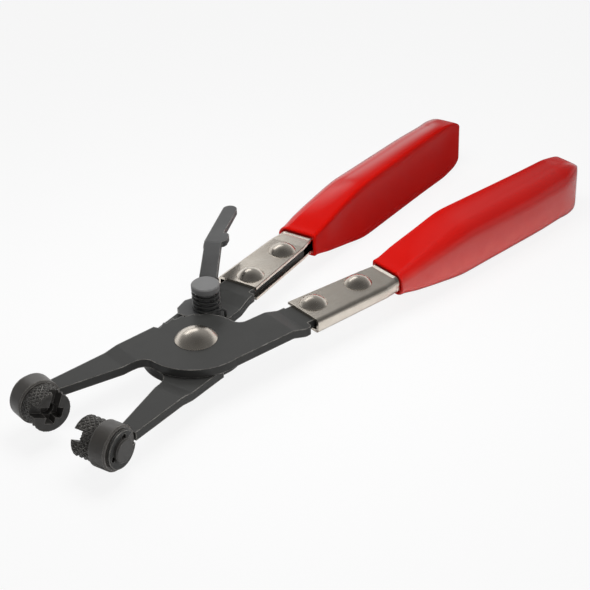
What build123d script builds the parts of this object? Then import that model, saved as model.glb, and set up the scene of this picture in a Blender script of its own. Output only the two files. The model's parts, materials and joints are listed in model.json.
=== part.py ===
from build123d import *
import copy
import math
import os

# Swivel jaw hose clamp pliers, lying flat, jaws towards -X and handles towards +X.
# Lengths are millimetres, angles are degrees.
# Each arm is drawn closed, in its own plane: the pivot at the origin, the handle along +X
# just below the X axis, the jaw above it with its axis along Y.
# The upper arm is then turned open by the rest angle, and the lower arm is the same
# drawing rolled half a turn about X and opened the other way.

# Pose
rest_half_angle = 9.0

# Shared cutting and running values
overrun = 30.0
seat_gap = 0.05
running_gap = 0.05

# Arm plates
plate_thickness = 2.9
plate_gap = 0.1
hub_radius = 17.3
cam_radius = 14.6
step_radius = 15.7
waist_inner_offset = 2.2
stud_side_inner_offset = 0.8
waist_fillet = 3.5
crotch_fillet = 4.0
handle_outer_front_share = 0.988
handle_outer_offset_rear = 16.6
shoulder_x = 33.0
shoulder_fillet = 1.4
tang_outer_offset = 14.0
tang_inner_offset = 2.9
tang_past_rear_rivet = 6.2
jaw_arm_outer_offset_root = 14.4
jaw_arm_root_x = 6.2
jaw_arm_inner_offset_root = 2.6
jaw_arm_inner_offset_tip = 7.1
jaw_arm_inner_root_x = 22.5
crotch_offset = 1.2
jaw_bend_start_x = 20.6
jaw_bend_length = 4.6
handle_bend_start_x = 25.3
handle_bend_length = 4.9
bend_fillet = 2.5

# Ratchet teeth on the upper hub
tooth_count = 5
tooth_pitch = 14.0
first_tooth_wall_angle = 56.0
tooth_depth = 1.1
tooth_wall_lean = 0.8

# Main pivot rivet
pivot_shank_radius = 4.5
pivot_head_radius = 6.8
pivot_head_height = 3.4

# Swivel jaws, one on each arm, axis along Y of the arm
jaw_axis_x = 52.8
jaw_axis_rise = 0.7
jaw_face_offset = -1.3
jaw_head_radius = 6.4
jaw_head_length = 6.7
jaw_edge_chamfer = 0.5
jaw_slot_width = 3.3
jaw_slot_depth = 3.1
jaw_short_slot_reach = 3.6
jaw_hollow_radius = 2.2
jaw_hollow_depth = 5.0
jaw_slot_turns = {"upper": 24.0, "lower": -37.0}
jaw_clip_turn = 10.0
jaw_shank_radius = 3.8
jaw_shank_tail = 2.2
jaw_groove_radius = 2.9
collar_radius = 7.1
collar_length = 6.0
collar_edge_chamfer = 0.5
clip_radius = 5.9
clip_thickness = 1.0
clip_mouth_width = 4.2
clip_relief_radius = 1.0
clip_relief_turn = 62.0

# Handle channels of folded sheet
sheet_thickness = 1.0
channel_front_x = 35.3
channel_width = 15.3
channel_full_half_height = 10.15
channel_edge_radius = 0.25
channel_fit = 0.05
sleeve_fit = 0.1

# Handle rivets
rivet_shank_radius = 2.6
rivet_head_radius = 4.7
rivet_head_height = 2.3
rivet_offset = 7.5

# The rivets' places between the channel's front, at 0, and the grip's start, at 1
rivet_place_shares = [0.156, 0.683]

# Dipped grips
grip_skin = 1.1
grip_start_x = 71.2
grip_end_x = 169.8
grip_flat_half_height = 11.1
grip_edge_radius = 1.2
grip_end_height_radius = 9.5
grip_end_outer_radius = 10.5

# Lock stud on the lower arm
stud_cam_gap = 4.63
stud_direction = 25.9
stud_shank_radius = 2.6
stud_head_radius = 4.6
stud_head_thickness = 2.5
stud_head_underside_z = 8.9
stud_head_chamfer = 0.4
stud_tail_radius = 3.6
stud_tail_height = 0.8

# Lock lever on the stud
lever_thickness = 2.0
lever_seat_height = 0.4
lever_ring_radius = 4.3
lever_slope_direction = 33.5
lever_slope_low_edge = -1.3
lever_slope_high_edge_root = 4.9
lever_slope_high_edge_top = 4.2
lever_slope_start = 6.2
lever_bend_distance = 22.0
lever_bend_rise = 12.1
lever_thumb_turn = -5.5
lever_thumb_width = 4.8
lever_thumb_shift = 1.9
lever_thumb_length = 23.5
lever_thumb_rise = 0.6
lever_bend_radius = 1.5
lever_ear_reach = 2.2
lever_ear_length = 5.6
lever_ear_radius = 1.6
nose_tip_clearance = 0.3
nose_corner_radius = 1.2

# The pawl's corners round the stud: distance as a share of the ring's radius, and direction
nose_shares = [
    (0.97, 219.0),
    (1.87, 169.0),
    (2.20, 152.0),
    (2.22, 132.0),
    (2.03, 100.0),
    (1.80, 72.0),
    (1.55, 38.0),
    (0.98, 0.0),
]

# Lock spring round the stud
wire_diameter = 0.9
coil_mean_diameter = 8.3
coil_end_gap = 0.1
coil_whole_turns = 3
spring_hole_ahead = 1.8
spring_hole_inward = 6.0
spring_hole_fit = 0.1
lower_leg_end_depth = 2.2
upper_leg_distance = 8.9
upper_leg_end_z = 3.2
leg_gap = 0.35
leg_bend_radius = 1.3


def arc_point(radius, angle):
    turn = math.radians(angle)
    return (radius * math.cos(turn), radius * math.sin(turn))


def turned(point, angle):
    turn = math.radians(angle)
    x, y = point
    return (x * math.cos(turn) - y * math.sin(turn), x * math.sin(turn) + y * math.cos(turn))


def as_upper(shape):
    # The upper arm turns open clockwise, seen from above.
    return Rot(0, 0, -rest_half_angle) * shape


def as_lower(shape):
    # The lower arm is the same drawing rolled over, then turned open the other way.
    return Rot(0, 0, rest_half_angle) * Rot(180, 0, 0) * shape


def disc(radius, height, centre=(0, 0), bottom=0):
    return Pos(centre[0], centre[1], bottom) * Cylinder(
        radius, height, align=(Align.CENTER, Align.CENTER, Align.MIN)
    )


def dome(radius, height, base_z):
    # A cap of a sphere that stands on a disc of this radius.
    ball_radius = (radius**2 + height**2) / (2 * height)
    section = make_face(
        Line((0, 0), (radius, 0))
        + RadiusArc((radius, 0), (0, height), -ball_radius)
        + Line((0, height), (0, 0))
    )
    return Pos(0, 0, base_z) * revolve(Plane.XZ * section, Axis.Z)


def waist_line_end(offset):
    # Where the handle's inner edge meets the cam part of the hub.
    return math.sqrt(cam_radius**2 - offset**2)


def arm_outline(inner_offset, toothed):
    # The plan of one arm, anticlockwise from the jaw end of the inner edge.
    crotch_angle = 180 - math.degrees(math.asin(crotch_offset / hub_radius))
    crotch = arc_point(hub_radius, crotch_angle)
    collar_rear = jaw_face_offset + jaw_head_length + running_gap + collar_length
    inner_tip = (-jaw_axis_x, jaw_arm_inner_offset_tip)
    inner_root = (-jaw_arm_inner_root_x, jaw_arm_inner_offset_root)
    hub_low_angle = 270 + math.degrees(math.acos(handle_outer_front_share))
    hub_low = arc_point(hub_radius, hub_low_angle)
    hub_middle = arc_point(hub_radius, (crotch_angle + hub_low_angle) / 2)
    shoulder = (shoulder_x, -handle_outer_offset_rear)
    shoulder_foot = (shoulder_x, -tang_outer_offset)
    tang_low = (tang_end_x(), -tang_outer_offset)
    tang_high = (tang_end_x(), -tang_inner_offset)
    waist = (waist_line_end(inner_offset), -inner_offset)
    waist_rear = (shoulder_x, -inner_offset)
    waist_angle = math.degrees(math.asin(-inner_offset / cam_radius))
    cam_end_angle = first_tooth_wall_angle - tooth_pitch
    last_wall_angle = first_tooth_wall_angle + (tooth_count - 1) * tooth_pitch
    step = arc_point(step_radius, last_wall_angle + tooth_wall_lean)
    outer_root = (-jaw_arm_root_x, jaw_arm_outer_offset_root)
    outer_tip = (-jaw_axis_x, collar_rear)

    edges = [
        Line(inner_tip, inner_root),
        Line(inner_root, crotch),
        ThreePointArc(crotch, hub_middle, hub_low),
        Line(hub_low, shoulder),
        Line(shoulder, shoulder_foot),
        Line(shoulder_foot, tang_low),
        Line(tang_low, tang_high),
        Line(tang_high, (shoulder_x, -tang_inner_offset)),
        Line((shoulder_x, -tang_inner_offset), waist_rear),
        Line(waist_rear, waist),
    ]
    if toothed:
        cam_end = arc_point(cam_radius, cam_end_angle)
        cam_middle = arc_point(cam_radius, (waist_angle + cam_end_angle) / 2)
        edges.append(ThreePointArc(waist, cam_middle, cam_end))
        last = cam_end
        for tooth in range(tooth_count):
            wall_angle = first_tooth_wall_angle + tooth * tooth_pitch
            foot = arc_point(cam_radius - tooth_depth, wall_angle)
            is_last = tooth == tooth_count - 1
            top_radius = step_radius if is_last else cam_radius
            top = arc_point(top_radius, wall_angle + tooth_wall_lean)
            edges.append(Line(last, foot))
            edges.append(Line(foot, top))
            last = top
    else:
        cam_end = arc_point(cam_radius, last_wall_angle)
        cam_middle = arc_point(cam_radius, (waist_angle + last_wall_angle) / 2)
        edges.append(ThreePointArc(waist, cam_middle, cam_end))
        edges.append(Line(cam_end, step))
    edges.append(Line(step, outer_root))
    edges.append(Line(outer_root, outer_tip))
    edges.append(Line(outer_tip, inner_tip))
    outline = make_face(Wire(edges))

    def corner(point):
        return outline.vertices().sort_by_distance((point[0], point[1], 0))[0]

    outline = fillet(corner(waist), waist_fillet)
    outline = fillet(corner(crotch), crotch_fillet)
    outline = fillet(corner(shoulder), shoulder_fillet)
    return outline


def arm_side_profile():
    # The plate seen from the side: raised over the hub, near the middle plane at both ends.
    middle_bottom = -plate_thickness / 2
    jaw_bottom = middle_bottom + jaw_axis_rise
    hub_bottom = plate_gap / 2
    reach = jaw_axis_x + tang_end_x()
    xs_and_bottoms = [
        (-reach, jaw_bottom),
        (-jaw_bend_start_x - jaw_bend_length, jaw_bottom),
        (-jaw_bend_start_x, hub_bottom),
        (handle_bend_start_x, hub_bottom),
        (handle_bend_start_x + handle_bend_length, middle_bottom),
        (reach, middle_bottom),
    ]
    low = [(x, z) for x, z in xs_and_bottoms]
    high = [(x, z + plate_thickness) for x, z in reversed(xs_and_bottoms)]
    profile = make_face(Polyline(*low, *high, close=True))
    bends = [v for v in profile.vertices() if abs(v.X) < reach - plate_thickness]
    return fillet(bends, bend_fillet)


def handle_x(place):
    # A distance along the handle: 0 is the channel's front, 1 the grip's start, 2 its end.
    if place <= 1:
        return channel_front_x + place * (grip_start_x - channel_front_x)
    return grip_start_x + (place - 1) * (grip_end_x - grip_start_x)


def handle_rivet_places():
    return [(handle_x(share), -rivet_offset) for share in rivet_place_shares]


def tang_end_x():
    return handle_x(rivet_place_shares[-1]) + tang_past_rear_rivet


def arm_plate(inner_offset, toothed):
    blank = Pos(0, 0, -overrun) * extrude(arm_outline(inner_offset, toothed), 2 * overrun)
    side = extrude(Plane.XZ * arm_side_profile(), overrun, both=True)
    plate = blank & side
    collar_space = Rot(90, 0, 0) * Cylinder(collar_radius, 4 * overrun)
    collar_space = Pos(-jaw_axis_x, 0, jaw_axis_rise) * collar_space
    beyond = Pos(-jaw_axis_x, 0, 0) * Box(
        2 * overrun, 2 * overrun, 2 * overrun, align=(Align.MAX, Align.CENTER, Align.CENTER)
    )
    plate = plate - collar_space - beyond
    plate -= disc(pivot_shank_radius + running_gap, 2 * overrun, bottom=-overrun)
    for place in handle_rivet_places():
        plate -= disc(rivet_shank_radius + seat_gap, 2 * overrun, place, -overrun)
    return plate


def stud_place():
    # How far along the lower arm and how far out the stud stands, outside the cam.
    return arc_point(cam_radius + stud_cam_gap, stud_direction)


def upper_arm_plate():
    return as_upper(arm_plate(waist_inner_offset, True))


def lower_arm_plate():
    plate = arm_plate(stud_side_inner_offset, False)
    x, offset = stud_place()
    plate -= disc(stud_shank_radius + seat_gap, 2 * overrun, (x, -offset), -overrun)
    hole_radius = wire_diameter / 2 + spring_hole_fit
    hole_place = (x + spring_hole_ahead, spring_hole_inward - offset)
    plate -= disc(hole_radius, 2 * overrun, hole_place, -overrun)
    return as_lower(plate)


def main_pivot_rivet():
    half_stack = plate_thickness + plate_gap / 2
    upper_seat = half_stack + running_gap
    rivet = disc(pivot_shank_radius, half_stack + upper_seat, bottom=-half_stack)
    rivet += dome(pivot_head_radius, pivot_head_height, upper_seat)
    rivet += Rot(180, 0, 0) * dome(pivot_head_radius, pivot_head_height, half_stack)
    return rivet


def handle_rivet(place):
    seat = plate_thickness / 2 + channel_fit + sheet_thickness
    rivet = disc(rivet_shank_radius, 2 * seat, bottom=-seat)
    rivet += dome(rivet_head_radius, rivet_head_height, seat)
    rivet += Rot(180, 0, 0) * dome(rivet_head_radius, rivet_head_height, seat)
    return Pos(place[0], place[1], 0) * rivet


# The handle's plan and height along the arm, one row a station. Each row is the place along
# (0 at the channel's front, 1 at the grip's start, 2 at its end), the inner and outer edges as
# shares of the channel's width, how far the height has risen, and the outer corner as a share
# of the full half height.
handle_station_shares = [
    (0.004, -0.095, -1.098, 0.000, 0.140),
    (0.832, -0.150, -1.060, 0.000, 0.180),
    (0.963, -0.185, -1.015, 0.020, 0.210),
    (1.095, -0.150, -0.998, 0.349, 0.300),
    (1.198, -0.124, -0.971, 0.658, 0.420),
    (1.315, -0.068, -0.925, 0.945, 0.510),
    (1.429, -0.038, -0.874, 1.000, 0.550),
    (1.584, 0.003, -0.800, 1.000, 0.560),
    (1.740, 0.050, -0.716, 0.990, 0.560),
    (1.865, 0.102, -0.608, 0.970, 0.540),
    (2.031, 0.145, -0.478, 0.940, 0.500),
]


def handle_rows(growth):
    # The channel's outside at each station, moved outwards by a growth.
    riveted_half_height = plate_thickness / 2 + channel_fit + sheet_thickness
    rise = channel_full_half_height - riveted_half_height
    rows = []
    for place, inner, outer, risen, corner in handle_station_shares:
        half_height = riveted_half_height + rise * risen + growth
        corner_radius = corner * channel_full_half_height + growth
        corner_radius = min(max(corner_radius, sheet_thickness / 4), half_height * 0.9)
        inner_edge = inner * channel_width + growth
        outer_edge = outer * channel_width - growth
        rows.append((handle_x(place), inner_edge, outer_edge, half_height, corner_radius))
    return rows


def row_at(rows, x):
    # The row at one distance, in proportion between its neighbours.
    if x <= rows[0][0]:
        return (x,) + rows[0][1:]
    for before, after in zip(rows, rows[1:]):
        if x <= after[0]:
            share = (x - before[0]) / (after[0] - before[0])
            return tuple(a + (b - a) * share for a, b in zip(before, after))
    return (x,) + rows[-1][1:]


def rounded_section(row, inner_radius):
    # A rounded box across the handle: crisp towards the other handle, round outside.
    x, inner, outer, half_height, r = row
    s = min(inner_radius, half_height / 3)
    r_in = r * (1 - math.sqrt(2) / 2)
    s_in = s * (1 - math.sqrt(2) / 2)
    h = half_height
    edges = [
        Line((outer + r, -h), (inner - s, -h)),
        ThreePointArc((inner - s, -h), (inner - s_in, -h + s_in), (inner, -h + s)),
        Line((inner, -h + s), (inner, h - s)),
        ThreePointArc((inner, h - s), (inner - s_in, h - s_in), (inner - s, h)),
        Line((inner - s, h), (outer + r, h)),
        ThreePointArc((outer + r, h), (outer + r_in, h - r_in), (outer, h - r)),
        Line((outer, h - r), (outer, -h + r)),
        ThreePointArc((outer, -h + r), (outer + r_in, -h + r_in), (outer + r, -h)),
    ]
    plane = Plane(origin=(x, 0, 0), x_dir=(0, 1, 0), z_dir=(1, 0, 0))
    return plane * make_face(Wire(edges))


def handle_loft(growth, first_x, last_x, inner_radius, reach=0):
    # The handle's body between two stations, its inner side reaching out further if asked.
    rows = handle_rows(growth)
    between = [row for row in rows if first_x < row[0] < last_x]
    chosen = [row_at(rows, first_x)] + between + [row_at(rows, last_x)]
    faces = []
    for x, inner, outer, half_height, corner_radius in chosen:
        row = (x, inner + reach, outer, half_height, corner_radius)
        faces.append(rounded_section(row, inner_radius))
    return loft(faces, ruled=True)


def handle_end_trim(growth):
    # What the rounded free end leaves of the handle, seen from the side and from above.
    drawn_in = grip_skin + sleeve_fit - growth
    end_x = grip_end_x - drawn_in
    half = grip_flat_half_height - drawn_in
    side = make_face(Polyline((0, -half), (end_x, -half), (end_x, half), (0, half), close=True))
    corners = [v for v in side.vertices() if v.X > end_x / 2]
    side = fillet(corners, grip_end_height_radius - drawn_in)
    end_row = row_at(handle_rows(growth), end_x)
    outer = end_row[2]
    radius = grip_end_outer_radius - drawn_in
    plan = make_face(
        Polyline((0, outer - overrun), (end_x - radius, outer - overrun), (end_x - radius, outer))
        + RadiusArc((end_x - radius, outer), (end_x, outer + radius), -radius)
        + Polyline((end_x, outer + radius), (end_x, overrun), (0, overrun), (0, outer - overrun))
    )
    side_solid = extrude(Plane.XZ * side, 2 * overrun, both=True)
    plan_solid = Pos(0, 0, -overrun) * extrude(plan, 2 * overrun)
    return side_solid & plan_solid


def handle_shell_form(growth, first_x, inner_radius):
    body = handle_loft(growth, first_x, grip_end_x, inner_radius)
    return body & handle_end_trim(growth)


def handle_channel():
    outside = handle_shell_form(0, channel_front_x, channel_edge_radius)
    front = channel_front_x - sheet_thickness
    hollow = handle_loft(-sheet_thickness, front, grip_end_x, channel_edge_radius, overrun)
    channel = outside - (hollow & handle_end_trim(-sheet_thickness))
    for place in handle_rivet_places():
        channel -= disc(rivet_shank_radius + seat_gap, 2 * overrun, place, -overrun)
    return channel


def grip():
    skin_outside = grip_skin + sleeve_fit
    outside = handle_shell_form(skin_outside, grip_start_x, grip_edge_radius)
    hollow = handle_shell_form(sleeve_fit, grip_start_x - grip_skin, channel_edge_radius)
    return outside - hollow


def along_jaw_axis(shape):
    # Turns a shape drawn along Z so that it runs along the jaw's axis, from the face back.
    return Pos(-jaw_axis_x, 0, jaw_axis_rise) * Rot(-90, 0, 0) * shape


def jaw_collar():
    # The ring at the arm's end that the jaw turns in.
    front = jaw_face_offset + jaw_head_length + running_gap
    ring = disc(collar_radius, collar_length, bottom=front)
    ring = chamfer(ring.edges().filter_by(GeomType.CIRCLE), collar_edge_chamfer)
    ring -= disc(jaw_shank_radius + running_gap, 2 * overrun, bottom=-overrun)
    return along_jaw_axis(ring)


def swivel_jaw(slot_turn):
    # The knurled head with its crossed slots, and the shank behind it.
    head = disc(jaw_head_radius, jaw_head_length, bottom=jaw_face_offset)
    head = chamfer(head.edges().filter_by(GeomType.CIRCLE), jaw_edge_chamfer)
    slot_bottom = jaw_face_offset + jaw_slot_depth
    slot_height = jaw_slot_depth + overrun
    long_reach = jaw_head_radius + overrun
    reaches = [jaw_short_slot_reach, jaw_short_slot_reach, long_reach, long_reach]
    for quarter, reach in enumerate(reaches):
        arm = Box(reach, jaw_slot_width, slot_height, align=(Align.MIN, Align.CENTER, Align.MAX))
        head -= Rot(0, 0, slot_turn + 90 * quarter) * Pos(0, 0, slot_bottom) * arm
    head -= disc(jaw_hollow_radius, jaw_hollow_depth + overrun, bottom=jaw_face_offset - overrun)
    shank_start = jaw_face_offset + jaw_head_length
    shank_length = running_gap + collar_length + jaw_shank_tail
    shank = disc(jaw_shank_radius, shank_length, bottom=shank_start)
    shank = chamfer(shank.edges().filter_by(GeomType.CIRCLE).sort_by(Axis.Z)[-1], jaw_edge_chamfer)
    groove_z = shank_start + 2 * running_gap + collar_length
    groove = disc(jaw_shank_radius + overrun, clip_thickness + running_gap, bottom=groove_z)
    groove -= disc(jaw_groove_radius, clip_thickness + running_gap, bottom=groove_z)
    return along_jaw_axis(head + (shank - groove))


def jaw_clip():
    # The spring clip in the shank's groove, open at one side.
    clip_z = jaw_face_offset + jaw_head_length + collar_length + 2 * running_gap
    clip_z += running_gap / 2
    clip = disc(clip_radius, clip_thickness, bottom=clip_z)
    clip -= disc(jaw_groove_radius + seat_gap, 2 * overrun, bottom=-overrun)
    mouth = Box(overrun, clip_mouth_width, 4 * overrun, align=(Align.MIN, Align.CENTER, Align.CENTER))
    clip -= mouth
    for turn in (clip_relief_turn, -clip_relief_turn, 180):
        place = arc_point(jaw_groove_radius + clip_relief_radius, turn)
        clip -= disc(clip_relief_radius, 2 * overrun, place, -overrun)
    return along_jaw_axis(Rot(0, 0, jaw_clip_turn) * clip)


def at_stud(shape):
    # Puts a shape drawn at the origin on the stud, in the lower arm's open pose.
    x, offset = stud_place()
    return Rot(0, 0, rest_half_angle) * Pos(x, offset, 0) * shape


def lock_stud():
    # A headed post through the lower arm, upset below it.
    top = stud_head_underside_z + stud_head_thickness
    plate_bottom = -plate_gap / 2 - plate_thickness
    stud = disc(stud_shank_radius, top - plate_bottom, bottom=plate_bottom)
    head = disc(stud_head_radius, stud_head_thickness, bottom=stud_head_underside_z)
    stud += chamfer(head.edges().filter_by(GeomType.CIRCLE), stud_head_chamfer)
    stud += disc(stud_tail_radius, stud_tail_height, bottom=plate_bottom - stud_tail_height)
    return at_stud(stud)


def lever_side_profile():
    # The lever's strip seen from the side: flat, up the slope, and out along the thumb piece.
    low = lever_seat_height - plate_gap / 2
    rise_top = low + lever_bend_rise
    slope_run = lever_bend_distance - lever_slope_start
    lean = math.atan2(lever_bend_rise, slope_run)
    shift = lever_thickness * math.tan(lean / 2)
    tip_x = lever_bend_distance + lever_thumb_length
    bottom = [
        (0, low),
        (lever_slope_start, low),
        (lever_bend_distance, rise_top),
        (tip_x, rise_top + lever_thumb_rise),
    ]
    top = [
        (tip_x, rise_top + lever_thumb_rise + lever_thickness),
        (lever_bend_distance - shift, rise_top + lever_thickness),
        (lever_slope_start - shift, low + lever_thickness),
        (0, low + lever_thickness),
    ]
    profile = make_face(Polyline(*bottom, *top, close=True))
    bends = [v for v in profile.vertices() if 0 < v.X < (lever_bend_distance + tip_x) / 2]
    return fillet(bends, lever_bend_radius)


def lever_plan():
    # The lever's outline from above, with the stud at the origin and the slope along X.
    bend = lever_bend_distance
    corners = [
        (0, lever_slope_low_edge),
        (bend, lever_slope_low_edge),
        (bend, lever_slope_high_edge_top),
        (0, lever_slope_high_edge_root),
    ]
    strip = make_face(Polyline(*corners, close=True))
    half = lever_thumb_width / 2
    thumb_end = lever_thumb_length - half
    thumb = Pos((thumb_end - half) / 2, 0) * Rectangle(thumb_end + half, lever_thumb_width)
    thumb += Pos(thumb_end, 0) * Circle(half)
    ear_width = lever_ear_reach + half
    ear = RectangleRounded(lever_ear_length, ear_width, lever_ear_radius)
    ear = Pos(lever_ear_length / 2, ear_width / 2 - half - lever_ear_reach) * ear
    turned_part = Pos(bend, lever_thumb_shift) * Rot(0, 0, lever_thumb_turn) * (thumb + ear)
    return strip + turned_part


def nose_plan():
    # The pawl's flat part from above: it rounds the stud and points at the teeth.
    points = [arc_point(r * lever_ring_radius, a) for r, a in nose_shares]
    return fillet(make_face(Polyline(*points, close=True)).vertices(), nose_corner_radius)


def lock_lever():
    low = lever_seat_height - plate_gap / 2
    side = extrude(Plane.XZ * lever_side_profile(), overrun, both=True)
    plan = Pos(0, 0, -overrun) * extrude(lever_plan(), 3 * overrun)
    strip = Rot(0, 0, lever_slope_direction) * (side & plan)
    flat = disc(lever_ring_radius, lever_thickness, bottom=low)
    nose = Pos(0, 0, low) * extrude(nose_plan(), lever_thickness)
    lever = strip + nose + flat
    lever -= disc(stud_shank_radius + running_gap, 3 * overrun, bottom=-overrun)
    lever = at_stud(Rot(0, 0, -rest_half_angle) * lever)
    return lever - disc(cam_radius + nose_tip_clearance, 3 * overrun, bottom=-overrun)


def tangent_angle(place, turn_sign):
    # Where a straight leg that ends at this place leaves the coil.
    away = math.degrees(math.acos(coil_mean_diameter / 2 / math.hypot(*place)))
    return math.degrees(math.atan2(place[1], place[0])) + turn_sign * away


def biarc(start, start_heading, end, end_heading):
    # Two arcs that leave one point and reach another along given headings.
    across = end - start
    both = start_heading + end_heading
    spread = 4 - both.dot(both)
    along = across.dot(both)
    reach = (math.sqrt(along**2 + spread * across.dot(across)) - along) / spread
    first_corner = start + start_heading * reach
    last_corner = end - end_heading * reach
    middle = (first_corner + last_corner) * 0.5
    heading = (last_corner - first_corner).normalized()
    return [TangentArc(start, middle, tangent=start_heading), TangentArc(middle, end, tangent=heading)]


def spring_places():
    # The two hooks, with the stud at the origin and the lower arm in its open pose.
    away_from_stud = (spring_hole_ahead, -spring_hole_inward)
    lower = turned(away_from_stud, rest_half_angle)
    beside = lever_slope_low_edge - leg_gap - wire_diameter / 2
    upper = turned((upper_leg_distance, beside), lever_slope_direction)
    return lower, upper


def coil_values():
    # The coil climbs clockwise, from the lower leg's tangent to the upper leg's.
    lower, upper = spring_places()
    start_angle = tangent_angle(lower, -1)
    end_angle = tangent_angle(upper, 1)
    sweep_angle = (start_angle - end_angle) % 360 + 360 * coil_whole_turns
    return start_angle, sweep_angle


def coil_heights():
    # The coil stands between the lever's ring and the stud's head.
    inset = wire_diameter / 2 + coil_end_gap
    bottom = lever_seat_height - plate_gap / 2 + lever_thickness + inset
    return bottom, stud_head_underside_z - inset


def coil_point(share):
    start_angle, sweep_angle = coil_values()
    bottom, top = coil_heights()
    x, y = arc_point(coil_mean_diameter / 2, start_angle - sweep_angle * share)
    return Vector(x, y, bottom + (top - bottom) * share)


def coil_heading(share):
    start_angle, sweep_angle = coil_values()
    bottom, top = coil_heights()
    x, y = arc_point(coil_mean_diameter / 2, start_angle - sweep_angle * share - 90)
    climb_radius = (top - bottom) / math.radians(sweep_angle)
    return Vector(x, y, climb_radius / (coil_mean_diameter / 2)).normalized()


def hook(coil_end, place, end_z, climb_sign):
    # A straight leg along the coil's tangent to a place, then down to a height.
    point, heading = coil_point(coil_end), coil_heading(coil_end)
    length = math.hypot(place[0] - point.X, place[1] - point.Y)
    climb = climb_sign * heading.Z / math.hypot(heading.X, heading.Y)
    corner = (place[0], place[1], point.Z + climb * length)
    return [point, corner, (place[0], place[1], end_z)]


def spring_path():
    lower, upper = spring_places()
    lower_end_z = -plate_gap / 2 - lower_leg_end_depth
    lower_hook = hook(0, lower, lower_end_z, -1)[::-1]
    edges = list(FilletPolyline(*lower_hook, radius=leg_bend_radius).edges())
    quarters = math.ceil(coil_values()[1] / 90)
    for quarter in range(quarters):
        a, b = quarter / quarters, (quarter + 1) / quarters
        edges += biarc(coil_point(a), coil_heading(a), coil_point(b), coil_heading(b))
    upper_hook = hook(1, upper, upper_leg_end_z, 1)
    edges += list(FilletPolyline(*upper_hook, radius=leg_bend_radius).edges())
    return Wire(edges)


def coil_least_gap():
    # The least clear space between one turn and the next, measured on points.
    steps = 400
    points = [coil_point(n / steps) for n in range(steps + 1)]
    half_turn = int(steps * 180 / coil_values()[1])
    least = min(
        (points[m] - points[n]).length
        for n in range(steps + 1)
        for m in range(n + half_turn, steps + 1)
    )
    return least - wire_diameter


def lock_spring():
    path = spring_path()
    section = Plane(origin=path @ 0, z_dir=path % 0) * Circle(wire_diameter / 2)
    return at_stud(Rot(0, 0, -rest_half_angle) * sweep(section, path=path))


def make_parts():
    pieces = {
        "main_pivot_rivet": main_pivot_rivet(),
        "lock_stud": lock_stud(),
        "lock_spring": lock_spring(),
        "lock_lever": lock_lever(),
        "upper_arm_plate": upper_arm_plate(),
        "lower_arm_plate": lower_arm_plate(),
    }
    for arm, placed in (("upper", as_upper), ("lower", as_lower)):
        pieces[f"{arm}_jaw_collar"] = placed(jaw_collar())
        pieces[f"{arm}_jaw"] = placed(swivel_jaw(jaw_slot_turns[arm]))
        pieces[f"{arm}_jaw_clip"] = placed(jaw_clip())
        pieces[f"{arm}_handle_channel"] = placed(handle_channel())
        pieces[f"{arm}_grip"] = placed(grip())
        for name, place in zip(("front", "rear"), handle_rivet_places()):
            pieces[f"{arm}_handle_rivet_{name}"] = placed(handle_rivet(place))
    return pieces


def stand_on_origin(pieces):
    # Moves the tool so that the origin is under its middle, at its lowest point.
    box = Compound(children=[copy.copy(piece) for piece in pieces.values()]).bounding_box()
    middle = box.center()
    shift = Pos(-middle.X, -middle.Y, -box.min.Z)
    return {name: shift * piece for name, piece in pieces.items()}


if __name__ == "__main__":
    os.makedirs("parts", exist_ok=True)
    solids = stand_on_origin(make_parts())
    for name, solid in solids.items():
        export_step(solid, f"parts/{name}.step")
    path = spring_path()
    section_area = math.pi * wire_diameter**2 / 4
    print("spring least gap", round(coil_least_gap(), 3))
    print("spring volume", round(solids["lock_spring"].volume, 2), "of", round(path.length * section_area, 2))
    pivot = solids["main_pivot_rivet"].bounding_box().center()
    print("pivot at", round(pivot.X, 3), round(pivot.Y, 3), round(pivot.Z, 3))
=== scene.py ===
import bpy
import bmesh
import json
import math
import numpy as np
from mathutils import Matrix, Vector


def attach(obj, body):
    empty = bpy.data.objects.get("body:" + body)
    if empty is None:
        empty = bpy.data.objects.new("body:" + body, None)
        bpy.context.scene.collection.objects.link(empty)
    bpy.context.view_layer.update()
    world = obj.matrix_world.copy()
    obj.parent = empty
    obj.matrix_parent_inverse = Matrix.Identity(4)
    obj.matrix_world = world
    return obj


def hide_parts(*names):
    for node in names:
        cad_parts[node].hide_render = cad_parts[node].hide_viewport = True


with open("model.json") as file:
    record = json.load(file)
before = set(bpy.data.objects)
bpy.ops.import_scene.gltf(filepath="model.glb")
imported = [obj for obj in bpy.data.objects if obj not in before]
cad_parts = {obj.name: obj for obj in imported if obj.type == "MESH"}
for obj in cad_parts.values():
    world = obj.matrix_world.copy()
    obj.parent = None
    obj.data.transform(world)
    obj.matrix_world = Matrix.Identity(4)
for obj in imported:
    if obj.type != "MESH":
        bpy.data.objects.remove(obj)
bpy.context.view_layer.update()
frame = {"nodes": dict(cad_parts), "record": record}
print("frame loaded")

mm = 0.001
restHalfAngle = 9.0  # each arm is drawn closed and turned open by this, in degrees
pivotJoint = next(j for j in frame["record"]["behaviour"]["joints"] if j["name"] == "main_pivot")
pivotPlace = np.array(pivotJoint["pos_m"])  # the middle plane, on the main pivot


cameraView = {
    "azimuth": 42.981,  # where it looks, in degrees from +X
    "elevation": 31.493,
    "roll": -2.0,
    "distance": 0.496472,
    "aim": (0.041844, -0.003444, 0.00017),  # from the pivot
    "focalPixels": 1522.63,
    "framePixels": 590,
    "sensorWidth": 36,
}


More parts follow.
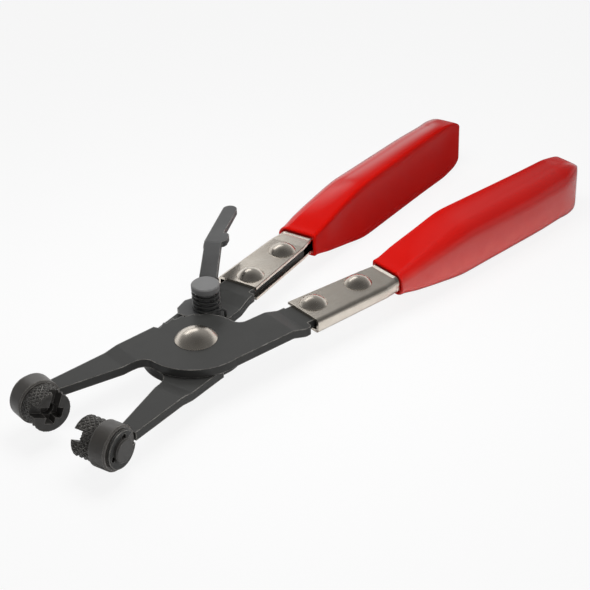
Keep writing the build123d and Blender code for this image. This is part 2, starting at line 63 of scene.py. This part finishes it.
def addCamera(view):
    # Looks down along the given azimuth and elevation at the aim point, rolled about its own axis.
    a, e, r = (math.radians(view[k]) for k in ("azimuth", "elevation", "roll"))
    ahead = Vector((math.cos(a) * math.cos(e), math.sin(a) * math.cos(e), -math.sin(e)))
    level = Vector((math.sin(a), -math.cos(a), 0))
    upright = level.cross(ahead)
    right = level * math.cos(r) + upright * math.sin(r)
    up = upright * math.cos(r) - level * math.sin(r)
    data = bpy.data.cameras.new("camera")
    data.sensor_width = view["sensorWidth"]
    data.lens = view["focalPixels"] / view["framePixels"] * data.sensor_width
    data.clip_start = 0.01
    data.clip_end = 20
    camera = bpy.data.objects.new("camera", data)
    bpy.context.scene.collection.objects.link(camera)
    turn = Matrix((right, up, -ahead)).transposed()
    place = Vector(pivotPlace) + Vector(view["aim"]) - ahead * view["distance"]
    camera.matrix_world = Matrix.Translation(place) @ turn.to_4x4()
    bpy.context.scene.camera = camera


addCamera(cameraView)
bpy.context.scene.view_settings.view_transform = "Standard"


# Shader maths: a socket that takes Python's operators, each adding one Math node.
class Wire:
    def __init__(self, tree, socket):
        self.tree = tree
        self.socket = socket

    def sum(self, operation, first, second):
        node = self.tree.nodes.new("ShaderNodeMath")
        node.operation = operation
        for slot, value in zip(node.inputs, (first, second)):
            plug(self.tree, slot, value)
        return Wire(self.tree, node.outputs[0])

    def __add__(self, other): return self.sum("ADD", self, other)
    def __radd__(self, other): return self.sum("ADD", other, self)
    def __sub__(self, other): return self.sum("SUBTRACT", self, other)
    def __rsub__(self, other): return self.sum("SUBTRACT", other, self)
    def __mul__(self, other): return self.sum("MULTIPLY", self, other)
    def __rmul__(self, other): return self.sum("MULTIPLY", other, self)


def plug(tree, slot, value):
    # A link where the value comes from a node, and the socket's own value otherwise.
    if isinstance(value, Wire):
        tree.links.new(value.socket, slot)
    else:
        slot.default_value = value


class Finish:
    # A material or a world under construction: one method adds any node.
    def __init__(self, owner):
        # The owner is a world, or the name of a new material.
        self.material = bpy.data.materials.new(owner) if isinstance(owner, str) else owner
        self.material.use_nodes = True
        self.tree = self.material.node_tree
        self.tree.nodes.clear()

    def add(self, kind, settings=None, inputs=None, output=0):
        node = self.tree.nodes.new("ShaderNode" + kind)
        for key, value in (settings or {}).items():
            if key == "stops":
                ramp = node.color_ramp
                while len(ramp.elements) < len(value):
                    ramp.elements.new(0.5)
                for element, (place, shade) in zip(ramp.elements, value):
                    element.position = place
                    element.color = (shade, shade, shade, 1)
            else:
                setattr(node, key, value)
        for key, value in (inputs or {}).items():
            plug(self.tree, node.inputs[key], value)
        return Wire(self.tree, node.outputs[output]) if len(node.outputs) else node

    def noise(self, place, scale, detail, roughness):
        # Clouds from 0 to 1 on the piece's own coordinates.
        return self.add("TexNoise", None, {
            "Vector": place, "Scale": scale, "Detail": detail, "Roughness": roughness})

    def ramp(self, value, *stops):
        # A value led through (place, shade) stops.
        return self.add("ValToRGB", {"stops": stops}, {"Fac": value})

    def blend(self, factor, first, second):
        # A colour between two, by a factor.
        return self.add("Mix", {"data_type": "RGBA"}, {0: factor, 6: first, 7: second}, 2)

    def softEdges(self, radius):
        # The Bevel node's rounded normal, and how far it leaves the face's own: an edge mask.
        rounded = self.add("Bevel", {"samples": 6}, {"Radius": radius})
        flat = self.add("NewGeometry", output="Normal")
        match = self.add("VectorMath", {"operation": "DOT_PRODUCT"}, {0: rounded, 1: flat}, "Value")
        return rounded, 1 - match

    def close(self, shader):
        self.add("OutputMaterial", None, {"Surface": shader})
        return self.material


blackSteelLook = {
    "colour": (0.026, 0.026, 0.025, 1),
    "dusty": (0.046, 0.046, 0.044, 1),
    "worn": (0.42, 0.40, 0.37, 1),
    "wear": 1.0,
    "edgeRadius": 0.0006,
    "roughness": 0.42,
    "metallic": 0.0,
    "specular": 0.22,
    "cloudScale": 90.0,
    "patchScale": 420.0,
    "grainScale": 2600.0,
    "bumpStrength": 0.22,
    "bumpDepth": 0.00006,
}


def blackSteel(name, look):
    # Black oxide on stamped steel: faint cloudy tone, fine grain, small dents, bare metal on edges.
    f = Finish(name)
    place = f.add("TexCoord", output="Object")
    clouds = f.noise(place, look["cloudScale"], 4.0, 0.6)
    grain = f.noise(place, look["grainScale"], 3.0, 0.6)
    patches = f.noise(place, look["patchScale"], 3.0, 0.65)
    rounded, edge = f.softEdges(look["edgeRadius"])
    chipped = f.ramp(patches, (0.40, 0.0), (0.66, 1.0))
    bare = f.ramp(edge, (0.02, 0.0), (0.16, 1.0))
    wear = bare * (0.30 + 0.60 * chipped) * look["wear"]
    base = f.blend(clouds, look["colour"], look["dusty"])
    base = f.blend(wear, base, look["worn"])
    rough = look["roughness"] + 0.16 * (clouds - 0.5) + 0.10 * (grain - 0.5) - 0.08 * wear
    bump = f.add("Bump", None, {
        "Strength": look["bumpStrength"], "Distance": look["bumpDepth"],
        "Height": grain * 0.5 + patches * 0.35, "Normal": rounded})
    return f.close(f.add("BsdfPrincipled", None, {
        "Base Color": base, "Roughness": rough, "Metallic": look["metallic"], "Normal": bump,
        "Specular IOR Level": look["specular"]}))


nickelLook = {
    "colour": (0.76, 0.70, 0.62, 1),
    "tarnish": (0.46, 0.40, 0.33, 1),
    "brushed": 1.0,  # how deep the brush lines and pits are
    "edgeRadius": 0.00025,
    "roughness": 0.23,
    "cloudScale": 120.0,
    "speckScale": 900.0,
    "lineScale": (60.0, 1600.0, 1600.0),
    "pitScale": 420.0,
    "bumpStrength": 0.035,
    "bumpDepth": 0.00002,
}


def nickel(name, look):
    # Nickel plate: long faint brush lines along the handle, cloudy tarnish and a few pits.
    f = Finish(name)
    place = f.add("TexCoord", output="Object")
    clouds = f.noise(place, look["cloudScale"], 5.0, 0.65)
    specks = f.noise(place, look["speckScale"], 3.0, 0.6)
    stretched = f.add("Mapping", None, {"Vector": place, "Scale": look["lineScale"]})
    lines = f.noise(stretched, 1.0, 2.0, 0.5)
    cells = f.add("TexVoronoi", None, {"Vector": place, "Scale": look["pitScale"]}, "Distance")
    pits = f.ramp(cells, (0.04, 1.0), (0.11, 0.0))
    rounded, edge = f.softEdges(look["edgeRadius"])
    stain = f.ramp(clouds, (0.40, 0.0), (0.72, 1.0))
    base = f.blend(stain * 0.45 + pits * 0.35 * look["brushed"], look["colour"], look["tarnish"])
    rough = look["roughness"] + 0.16 * (clouds - 0.5) + 0.05 * (specks - 0.5) + 0.10 * (lines - 0.5)
    bump = f.add("Bump", None, {
        "Strength": look["bumpStrength"], "Distance": look["bumpDepth"],
        "Height": lines * 0.8 * look["brushed"] + specks * 0.04 - pits * 0.6 * look["brushed"],
        "Normal": rounded})
    return f.close(f.add("BsdfPrincipled", None, {
        "Base Color": base, "Roughness": rough, "Metallic": 1.0, "Normal": bump}))


vinylLook = {
    "colour": (0.55, 0.0065, 0.0035, 1),
    "deep": (0.47, 0.004, 0.0025, 1),
    # painted reflection of the bright floor: the pinkish white painted low on the outward side
    "paintedReflection": (0.78, 0.085, 0.070, 1),
    "roughness": 0.25,
    "specular": 0.03,
    "coatRoughness": 0.2,
    "waveScale": 38.0,
    "smearScale": 160.0,
    "bumpStrength": 0.25,
    "bumpDepth": 0.0005,
    "reflectionFrom": 0.0185,  # heights in metres: the painted floor reflection on the outward side grows from the first down to the second
    "reflectionTo": 0.007,
}


def redVinyl(name, look):
    # Dipped vinyl: deep red with slow waves in the skin, a glossier outward side, and low on that side a
    # painted reflection of the pale floor.
    f = Finish(name)
    place = f.add("TexCoord", output="Object")
    waves = f.noise(place, look["waveScale"], 2.0, 0.5)
    smears = f.noise(place, look["smearScale"], 4.0, 0.6)
    facingOut = f.add("Attribute", {"attribute_name": "palmSide"}, None, "Fac")
    height = f.add("SeparateXYZ", None, {0: place}, 2)
    low = f.add("MapRange", None, {
        "Value": height, "From Min": look["reflectionFrom"], "From Max": look["reflectionTo"]})
    polished = f.ramp(facingOut, (0.02, 0.0), (0.14, 1.0))
    # Painted reflection of the bright floor: outward-facing walls are paled towards pinkish white, more the
    # lower they are.
    paintedReflection = f.ramp(facingOut, (0.55, 0.0), (0.95, 1.0))
    base = f.blend(waves, look["deep"], look["colour"])
    base = f.blend(paintedReflection * low * (0.55 + 0.5 * smears), base, look["paintedReflection"])
    bump = f.add("Bump", None, {
        "Strength": look["bumpStrength"], "Distance": look["bumpDepth"], "Height": waves})
    return f.close(f.add("BsdfPrincipled", None, {
        "Base Color": base, "Roughness": look["roughness"] + 0.08 * (smears - 0.5), "Normal": bump,
        "Specular IOR Level": look["specular"],
        "Coat Weight": polished, "Coat Roughness": look["coatRoughness"]}))


# The black pieces that aren't as plain as the arms: what each changes in the plain black steel.
otherSteels = {
    "knurledSteel": {
        "colour": (0.032, 0.028, 0.025, 1), "specular": 0.5, "edgeRadius": 0.00018, "wear": 1.1},
    "springSteel": {
        "colour": (0.014, 0.014, 0.014, 1), "roughness": 0.3, "specular": 0.5, "edgeRadius": 0.00005},
    "collarSteel": {
        "colour": (0.034, 0.031, 0.028, 1), "dusty": (0.075, 0.07, 0.064, 1),
        "specular": 0.6, "roughness": 0.36, "wear": 1.2},
    # The lever and the stud are paler than the arms' steel: a painted sheen, standing in for the light their
    # flat tops catch.
    "leverPaintedSheenSteel": {"colour": (0.045, 0.045, 0.045, 1), "dusty": (0.085, 0.085, 0.085, 1)},
    "studPaintedSheenSteel": {"colour": (0.12, 0.12, 0.12, 1), "dusty": (0.17, 0.17, 0.17, 1), "wear": 0.6},
}
steels = {name: blackSteel(name, {**blackSteelLook, **change}) for name, change in otherSteels.items()}
finishes = {
    "black_steel": blackSteel("blackSteel", blackSteelLook),
    "knurled_steel": steels["knurledSteel"],
    "spring_steel": steels["springSteel"],
    "brushed_nickel": nickel("brushedNickel", nickelLook),
    "polished_nickel": nickel("polishedNickel", {**nickelLook, "roughness": 0.26, "brushed": 0.3}),
    "red_vinyl": redVinyl("redVinyl", vinylLook),
}
handled = {
    "lock_lever": steels["leverPaintedSheenSteel"],
    "lock_stud": steels["studPaintedSheenSteel"],
    "upper_jaw_collar": steels["collarSteel"],
    "lower_jaw_collar": steels["collarSteel"],
}
for part in frame["record"]["subparts"]:
    node = frame["nodes"][part["node"]]
    node.data.materials.clear()
    node.data.materials.append(handled.get(part["node"], finishes[part["material_slot"]]))
print("finishes made")


def armPlace(points, arm):
    # From the closed arm's own drawing, in millimetres, to the open tool in metres.
    x, y, z = points[..., 0], points[..., 1], points[..., 2]
    if arm == "upper":
        turn = -math.radians(restHalfAngle)
    else:
        turn = math.radians(restHalfAngle)
        y, z = -y, -z
    across = x * math.cos(turn) - y * math.sin(turn)
    along = x * math.sin(turn) + y * math.cos(turn)
    return np.stack([across, along, z], -1) * mm + pivotPlace


def gridFaces(rows, columns, closed):
    # Quads between neighbouring rows; a closed grid also joins its last column to its first.
    i, j = np.meshgrid(np.arange(rows - 1), np.arange(columns if closed else columns - 1), indexing="ij")
    k = (j + 1) % columns
    a, b = i * columns, (i + 1) * columns
    return np.stack([a + j, a + k, b + k, b + j], -1).reshape(-1, 4)


def makeMesh(name, points, faces, caps=()):
    # A mesh from a table of points and quads, with one face across each end ring listed as a cap.
    # Doubled points are merged, and a closed mesh has its faces turned outwards.
    mesh = bpy.data.meshes.new(name)
    mesh.from_pydata(points.reshape(-1, 3).tolist(), [], faces.tolist() + [ring.tolist() for ring in caps])
    shape = bmesh.new()
    shape.from_mesh(mesh)
    bmesh.ops.remove_doubles(shape, verts=shape.verts, dist=1e-6)
    bmesh.ops.recalc_face_normals(shape, faces=shape.faces)
    if shape.calc_volume(signed=True) < 0:
        bmesh.ops.reverse_faces(shape, faces=shape.faces)
    shape.to_mesh(mesh)
    shape.free()
    mesh.polygons.foreach_set("use_smooth", np.ones(len(mesh.polygons), bool))
    piece = bpy.data.objects.new(name, mesh)
    bpy.context.scene.collection.objects.link(piece)
    return piece


# In millimetres, in the closed arm's drawing.
gripShape = {
    "start": 71.2,
    "end": 169.8,
    "flatHalfHeight": 11.1,
    "flatBlend": 0.13,
    "skin": 1.1,
    "sleeve": 0.1,
    "innerEdgeRadius": 1.0,
    # the bead round the mouth: its height, how far in it lies and how wide it is
    "lipBead": 0.14,
    "beadPlace": 0.7,
    "beadWidth": 0.9,
    # the open side's sag and the top's and bottom's crown, each growing from a plain front
    "plainFront": 3.0,
    "sag": 1.3,
    "sagGrowth": 22.0,
    "sagFade": 14.0,
    "lipShare": 0.07,
    "crown": 0.7,
    "crownGrowth": 25.0,
    # the free end: how its height, its outer side and its edge draw in, and how soft the cut is
    "endHeightRadius": 9.5,
    "endOuterRadius": 10.5,
    "endEdgeRadius": 2.4,
    "endEdgeShare": 0.6,
    "endLeast": 0.8,
    "endSoftFrom": 15.0,
    "endSoftTo": 6.0,
    "endSoft": 1.2,
    "endCrisp": 0.02,
    "endCutMost": 300.0,  # the deepest cut, in units of its softness
    # rows along the grip, and steps in a ring's corners and flats
    "outsideRows": 110,
    "insideRows": 40,
    "endRows": 26,
    "lipRows": 9,
    "outerSteps": 12,
    "innerSteps": 6,
    "flatSteps": 20,
    # distance along, inner edge, outer edge, half height and outer corner of the channel inside
    "stations": [
        (65.17, -2.29, -16.22, 2.50, 1.83),
        (69.87, -2.83, -15.53, 2.65, 2.13),
        (80.57, -2.29, -15.27, 5.17, 3.05),
        (90.72, -1.90, -14.86, 7.53, 4.26),
        (102.26, -1.04, -14.15, 9.73, 5.18),
        (113.50, -0.58, -13.37, 10.15, 5.58),
        (128.78, 0.05, -12.24, 10.15, 5.68),
        (144.16, 0.77, -10.95, 10.07, 5.68),
        (156.49, 1.56, -9.30, 9.92, 5.48),
        (172.86, 2.22, -7.31, 9.69, 5.08),
    ],
}


def smoothTable(rows, xs):
    # A cubic through the rows, its slope at each row the average over its two neighbours.
    rows = np.array(rows)
    x, values = rows[:, 0], rows[:, 1:]
    slope = np.gradient(values, x, axis=0)
    k = np.clip(np.searchsorted(x, xs) - 1, 0, len(x) - 2)
    width = (x[k + 1] - x[k])[:, None]
    t = ((xs - x[k])[:, None]) / width
    first = (2 * t**3 - 3 * t**2 + 1) * values[k] + (t**3 - 2 * t**2 + t) * width * slope[k]
    last = (3 * t**2 - 2 * t**3) * values[k + 1] + (t**3 - t**2) * width * slope[k + 1]
    return first + last


def growing(xs, start, length):
    # 0 up to the start and 1 from a length later, evenly between them.
    return np.clip((xs - start) / length, 0, 1)


def eased(t):
    # The same from 0 to 1, but level at both ends.
    return t**2 * (3 - 2 * t)


def gripSurface(shape, xs, growth):
    # The channel's section at each distance, grown all round: a box with large round corners outside,
    # crisp ones inside and flats between them. The open inner side sags along a parabola, and the top
    # and bottom fall away towards the outer corners. Towards the free end the section is cut back,
    # softly on the skin's outside, to a height and an outer side that draw in along quarter circles.
    drawnIn = shape["skin"] + shape["sleeve"] - growth
    end = shape["end"] - drawnIn

    def quarterCircle(radius):
        past = np.clip(xs - (end - radius), 0, radius)
        return radius - np.sqrt(np.maximum(radius**2 - past**2, 0))

    table = smoothTable(shape["stations"], xs)
    edge = quarterCircle(shape["endEdgeRadius"])
    inner = table[:, 0] + growth - edge
    outer = table[:, 1] - growth
    flat = shape["flatHalfHeight"] - drawnIn
    half = table[:, 2] + growth
    half = flat - np.log1p(np.exp((flat - half) / shape["flatBlend"])) * shape["flatBlend"]
    width = inner - outer
    corner = np.minimum(table[:, 3] + growth, np.minimum(half * 0.92, width * 0.55))
    crisp = np.minimum(shape["innerEdgeRadius"], np.minimum(half * 0.9, width * 0.3))

    halfLimit = half - quarterCircle(shape["endHeightRadius"] - drawnIn) * half / flat
    halfLimit = halfLimit - edge * shape["endEdgeShare"]
    outerLimit = table[:, 1] - growth + quarterCircle(shape["endOuterRadius"] - drawnIn)
    outerLimit = np.minimum(outerLimit + edge * shape["endEdgeShare"], inner - shape["endLeast"])

    outside = (growth - shape["sleeve"]) / shape["skin"]  # 1 on the skin's outside, 0 on its inside
    front = shape["start"] + shape["plainFront"]
    near = eased(growing(xs, end - shape["endSoftFrom"], shape["endSoftFrom"] - shape["endSoftTo"]))
    crown = shape["crown"] * growing(xs, front, shape["crownGrowth"]) * outside * (1 - near)
    crown = crown[:, None]
    sag = growing(xs, front, shape["sagGrowth"]) * np.clip((end - xs) / shape["sagFade"], 0, 1)
    sag = shape["sag"] * eased(sag)[:, None]

    corners = [
        (inner, -1, crisp, 270, shape["innerSteps"]),
        (inner, 1, crisp, 0, shape["innerSteps"]),
        (outer, 1, corner, 90, shape["outerSteps"]),
        (outer, -1, corner, 180, shape["outerSteps"]),
    ]
    arcs = []
    for side, upwards, radius, start, count in corners:
        angle = np.radians(np.linspace(start, start + 90, count))[None, :]
        centreY = (side - radius if side is inner else side + radius)[:, None]
        centreZ = (upwards * (half - radius))[:, None]
        y = centreY + radius[:, None] * np.cos(angle)
        z = centreZ + radius[:, None] * np.sin(angle)
        if side is outer:
            z = z - upwards * crown * np.abs(z) / half[:, None]
        arcs.append((y, z))

    ring = []
    t = np.linspace(0, 1, shape["flatSteps"] + 2)[1:-1][None, :]
    u = np.clip((t - shape["lipShare"]) / (1 - 2 * shape["lipShare"]), 0, 1)
    for n, (y, z) in enumerate(arcs):
        nextY, nextZ = arcs[(n + 1) % 4]
        flatY = y[:, -1:] * (1 - t) + nextY[:, :1] * t
        flatZ = z[:, -1:] * (1 - t) + nextZ[:, :1] * t
        if n == 0:  # the open side
            flatY = flatY - sag * 4 * u * (1 - u)
        if n == 1:  # the top, from the inner corner out
            flatZ = z[:, -1:] - crown * t**2
        if n == 3:  # the bottom, from the outer corner in
            flatZ = nextZ[:, :1] + crown * (1 - t)**2
        ring += [(y, z), (flatY, flatZ)]
    y = np.concatenate([part[0] for part in ring], 1)
    z = np.concatenate([part[1] for part in ring], 1)

    soft = (shape["endCrisp"] + shape["endSoft"] * near * outside)[:, None]

    def cutBack(excess):
        # Nothing well inside a limit and all the excess well past it, with a soft turn between.
        return soft * np.logaddexp(0, np.minimum(excess / soft, shape["endCutMost"]))

    z = np.sign(z) * (np.abs(z) - cutBack(np.abs(z) - halfLimit[:, None]))
    y = y + cutBack(outerLimit[:, None] - y)
    return np.stack([np.broadcast_to(xs[:, None], y.shape), y, z], -1)


def gripRows(shape, growth, first, count):
    # Distances along the grip, closer together round the free end.
    end = shape["end"] - (shape["skin"] + shape["sleeve"] - growth)
    radius = shape["endHeightRadius"]
    body = np.linspace(first, end - radius, count)[:-1]
    angle = np.linspace(0, math.pi / 2, shape["endRows"])
    return np.concatenate([body, end - radius + radius * np.sin(angle)])


def markOutwardSide(piece, arm):
    # How far each point faces away from the other handle, from 0 to 1: the outward side, which the vinyl makes
    # glossier and, low down, paler with a painted reflection of the floor.
    mesh = piece.data
    normals = np.zeros(len(mesh.vertices) * 3, np.float32)
    mesh.vertex_normals.foreach_get("vector", normals)
    normals = normals.reshape(-1, 3)
    turn = math.radians(restHalfAngle)
    outward = np.array([-math.sin(turn), -math.cos(turn) if arm == "upper" else math.cos(turn), 0])
    mark = mesh.attributes.new("palmSide", "FLOAT", "POINT")
    mark.data.foreach_set("value", np.clip(normals @ outward, 0, 1).astype(np.float32))


def addGrip(arm, shape):
    # A sleeve closed at its free end: the skin's outside from that end to the mouth, half a circle
    # round the mouth's lip, and the skin's inside back to the end.
    lip = shape["skin"] / 2
    skin = shape["skin"] + shape["sleeve"]
    mouth = shape["start"] + lip
    outsideX = gripRows(shape, skin, mouth, shape["outsideRows"])
    fromBead = (outsideX - shape["start"] - shape["beadPlace"]) / shape["beadWidth"]
    bead = shape["lipBead"] * np.exp(-(fromBead**2))
    outside = gripSurface(shape, outsideX, skin + bead)
    angle = np.radians(np.linspace(0, 180, shape["lipRows"]))[1:-1]
    lipX = shape["start"] + lip * (1 - np.sin(angle))
    lipGrowth = shape["sleeve"] + lip + lip * np.cos(angle) + bead[0] * (1 + np.cos(angle)) / 2
    lipRings = gripSurface(shape, lipX, lipGrowth)
    insideX = gripRows(shape, shape["sleeve"], mouth, shape["insideRows"])
    inside = gripSurface(shape, insideX, np.full(len(insideX), shape["sleeve"]))
    points = np.concatenate([outside[::-1], lipRings, inside])
    rows, columns = points.shape[:2]
    total = rows * columns
    caps = [np.arange(columns), np.arange(total - columns, total)]
    piece = makeMesh(f"{arm}DippedGrip", armPlace(points, arm), gridFaces(rows, columns, True), caps)
    markOutwardSide(piece, arm)
    piece.data.materials.append(finishes["red_vinyl"])
    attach(piece, f"{arm}_arm")
    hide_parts(f"{arm}_grip")


for arm in ("upper", "lower"):
    addGrip(arm, gripShape)
print("grips made")


# In millimetres, in the closed arm's drawing.
jawShape = {
    "axisX": -52.8,
    "rise": 0.7,
    "face": -1.3,
    "headRadius": 6.4,
    "headLength": 6.7,
    "chamfer": 0.35,
    "hollowRadius": 2.2,
    "hollowDepth": 5.0,
    "slotWidth": 3.3,
    "slotDepth": 3.1,
    "shortReach": 3.6,
    "slotTurn": {"upper": 24.0, "lower": -37.0},
    "cutterPast": 3.0,
    "shankRadius": 3.8,
    "shankTail": 2.2,
    "tailChamfer": 0.4,
    "grooveRadius": 2.9,
    "collarLength": 6.0,
    "clipThickness": 1.0,
    "running": 0.05,
    "knurlTeeth": 22,
    "knurlTurnPerMm": 0.05,
    "knurlDepth": 0.5,
    "knurlSteepness": 1.5,
    "knurlFade": 0.25,  # how far from the rims the knurl fades
    "knurlLeast": 0.25,  # the share of its depth that is left at the rims
    "columnsPerTooth": 12,
    "sideRows": 64,
}


def jawBody(shape):
    # A profile turned about the jaw's axis. On the head's side the radius drops along two crossing
    # families of V grooves, which leaves rows of small flat-topped diamonds.
    s = shape
    face, back = s["face"], s["face"] + s["headLength"]
    shankEnd = back + s["running"] + s["collarLength"] + s["shankTail"]
    grooveStart = back + s["collarLength"] + 2 * s["running"]
    grooveEnd = grooveStart + s["clipThickness"] + s["running"]
    floor, rim, tail = face + s["hollowDepth"], s["headRadius"] - s["chamfer"], s["tailChamfer"]
    side = np.linspace(face + s["chamfer"], back - s["chamfer"], s["sideRows"])
    front = [(0.0, floor), (s["hollowRadius"], floor), (s["hollowRadius"], face), (rim, face)]
    shank = [
        (rim, back), (s["shankRadius"], back), (s["shankRadius"], grooveStart),
        (s["grooveRadius"], grooveStart), (s["grooveRadius"], grooveEnd), (s["shankRadius"], grooveEnd),
        (s["shankRadius"], shankEnd - tail), (s["shankRadius"] - tail, shankEnd), (0.0, shankEnd),
    ]
    profile = np.array(front + [(s["headRadius"], z) for z in side] + shank)
    columns = s["knurlTeeth"] * s["columnsPerTooth"]
    turns = np.arange(columns) / columns
    radius = np.repeat(profile[:, :1], columns, 1)
    height = np.repeat(profile[:, 1:], columns, 1)

    lean = (side[:, None] - face) * s["knurlTurnPerMm"] * s["knurlTeeth"] / 2
    around = turns[None, :] * s["knurlTeeth"]
    ridge = 1.0
    for way in (1, -1):
        share = (around + way * lean) % 1
        ridge = np.minimum(ridge, 2 * np.minimum(share, 1 - share) * s["knurlSteepness"])
    fade = growing(side, face + s["chamfer"], s["knurlFade"])
    fade = fade * np.clip((back - s["chamfer"] - side) / s["knurlFade"], 0, 1)
    depth = s["knurlDepth"] * (s["knurlLeast"] + (1 - s["knurlLeast"]) * fade[:, None])
    radius[len(front):len(front) + len(side)] -= depth * (1 - ridge)
    angle = turns[None, :] * 2 * math.pi
    return np.stack([radius * np.cos(angle), radius * np.sin(angle), height], -1)


def crossCutter(shape, arm):
    # A cross: its arms towards -X and -Y in the drawing leave through the rim, two stay short.
    s = shape
    half, long, short = s["slotWidth"] / 2, s["headRadius"] + s["cutterPast"], s["shortReach"]
    outline = np.array([
        (short, -half), (short, half), (half, half), (half, short), (-half, short), (-half, half),
        (-long, half), (-long, -half), (-half, -half), (-half, -long), (half, -long), (half, -half)])
    turn = math.radians(s["slotTurn"][arm])
    x = outline[:, 0] * math.cos(turn) - outline[:, 1] * math.sin(turn)
    y = outline[:, 0] * math.sin(turn) + outline[:, 1] * math.cos(turn)
    levels = (s["face"] - s["cutterPast"], s["face"] + s["slotDepth"])
    return np.stack([np.stack([x, y, np.full(len(x), z)], -1) for z in levels])


def onJawAxis(points, shape):
    # The drawing's Z runs along the jaw's axis, from its face back into the arm.
    return np.stack([shape["axisX"] + points[..., 0], points[..., 2], shape["rise"] - points[..., 1]], -1)


def addJaw(arm, shape):
    body = jawBody(shape)
    rows, columns = body.shape[:2]
    piece = makeMesh(f"{arm}KnurledJaw", armPlace(onJawAxis(body, shape), arm), gridFaces(rows, columns, True))
    cutter = crossCutter(shape, arm)
    count = cutter.shape[1]
    ends = [np.arange(count), np.arange(count, 2 * count)]
    tool = makeMesh("slotCutter", armPlace(onJawAxis(cutter, shape), arm), gridFaces(2, count, True), ends)
    cut = piece.modifiers.new("slots", "BOOLEAN")
    cut.operation = "DIFFERENCE"
    cut.solver = "EXACT"
    cut.object = tool
    bpy.context.view_layer.update()
    done = bpy.data.meshes.new_from_object(piece.evaluated_get(bpy.context.evaluated_depsgraph_get()))
    piece.modifiers.clear()
    piece.data = done
    bpy.data.objects.remove(tool)
    done.materials.clear()
    done.materials.append(finishes["knurled_steel"])
    done.polygons.foreach_set("use_smooth", np.zeros(len(done.polygons), bool))
    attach(piece, f"{arm}_jaw")
    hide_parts(f"{arm}_jaw")
    print(piece.name, len(done.polygons), "faces")


for arm in ("upper", "lower"):
    addJaw(arm, jawShape)


stageLook = {
    "floorSize": 3.0,
    "floorGap": 0.00003,  # how far it lies below the tool
    "floorColour": (0.86, 0.86, 0.86, 1),
    "floorPale": (0.88, 0.88, 0.88, 1),
    "floorRoughness": 0.35,
    "floorSpecular": 0.3,
    "shadowShare": 0.11,
    "glow": 0.985,
    # the room's light by height above the horizon, and by how far it lies ahead of the camera
    "roomByHeight": [(0.0, 1.0), (0.3, 0.9), (0.44, 0.30), (0.75, 0.30), (1.0, 0.22)],
    "roomByAhead": [(0.4, 0.4), (0.58, 0.5), (0.85, 1.0)],
}


def addFloor(look):
    # A pale sheet. The camera sees it mostly as an even glow, with a share of its own shading,
    # which keeps a faint shadow.
    f = Finish("paleSheet")
    grain = f.noise(f.add("TexCoord", output="Object"), 6.0, 2.0, 0.5)
    paper = f.add("BsdfPrincipled", None, {
        "Base Color": f.blend(grain, look["floorColour"], look["floorPale"]),
        "Roughness": look["floorRoughness"], "Specular IOR Level": look["floorSpecular"]})
    glow = f.add("Emission", None, {"Color": (1, 1, 1, 1), "Strength": look["glow"]})
    seen = f.add("LightPath", output="Is Camera Ray")
    mixed = f.add("MixShader", None, {0: seen * (1 - look["shadowShare"]), 1: paper, 2: glow})
    size, z = look["floorSize"] / 2, -look["floorGap"]
    corners = np.array([(-size, -size, z), (size, -size, z), (size, size, z), (-size, size, z)])
    floor = makeMesh("floorSheet", corners, np.array([[0, 1, 2, 3]]))
    floor.data.materials.append(f.close(mixed))


def addSky(look):
    # White behind the object; for the light it gives, a pale room that is bright low down and ahead.
    world = bpy.data.worlds.new("paleRoom")
    bpy.context.scene.world = world
    f = Finish(world)
    direction = f.add("TexCoord", output="Generated")
    across, along, rise = (f.add("SeparateXYZ", None, {0: direction}, n) for n in range(3))
    a = math.radians(cameraView["azimuth"])
    ahead = across * math.cos(a) + along * math.sin(a)
    byHeight = f.ramp(rise, *look["roomByHeight"])
    byAhead = f.ramp(ahead * 0.5 + 0.5, *look["roomByAhead"])
    seen = f.add("LightPath", output="Is Camera Ray")
    strength = seen + (1 - seen) * byHeight * byAhead
    sky = f.add("Background", None, {"Color": (1, 1, 1, 1), "Strength": strength})
    f.add("OutputWorld", None, {"Surface": sky})


# Places and aims in metres, powers in watts.
lampLooks = {
    "topSoftbox": {
        "place": (-0.02, 0.0, 0.19), "aim": (-0.015, 0.0, 0), "size": (0.12, 0.12),
        "power": 0.36, "mirrored": False},
    "frontCard": {
        "place": (-0.15, -0.55, 0.22), "aim": (0.04, 0, 0), "size": (0.4, 0.25),
        "power": 0.9, "mirrored": False},
    "farSoftbox": {
        "place": (0.19, 0.46, 0.42), "aim": (-0.02, 0, 0), "size": (0.40, 0.18),
        "power": 0.36, "mirrored": True},
}


def addLamp(name, look):
    data = bpy.data.lights.new(name, "AREA")
    data.shape = "RECTANGLE"
    data.size, data.size_y = look["size"]
    data.energy = look["power"]
    lamp = bpy.data.objects.new(name, data)
    lamp.visible_glossy = look["mirrored"]
    bpy.context.scene.collection.objects.link(lamp)
    place = Vector(look["place"])
    turn = (Vector(look["aim"]) - place).to_track_quat("-Z", "Y")
    lamp.matrix_world = Matrix.Translation(place) @ turn.to_matrix().to_4x4()


addFloor(stageLook)
addSky(stageLook)
for name, look in lampLooks.items():
    addLamp(name, look)
print("stage made")
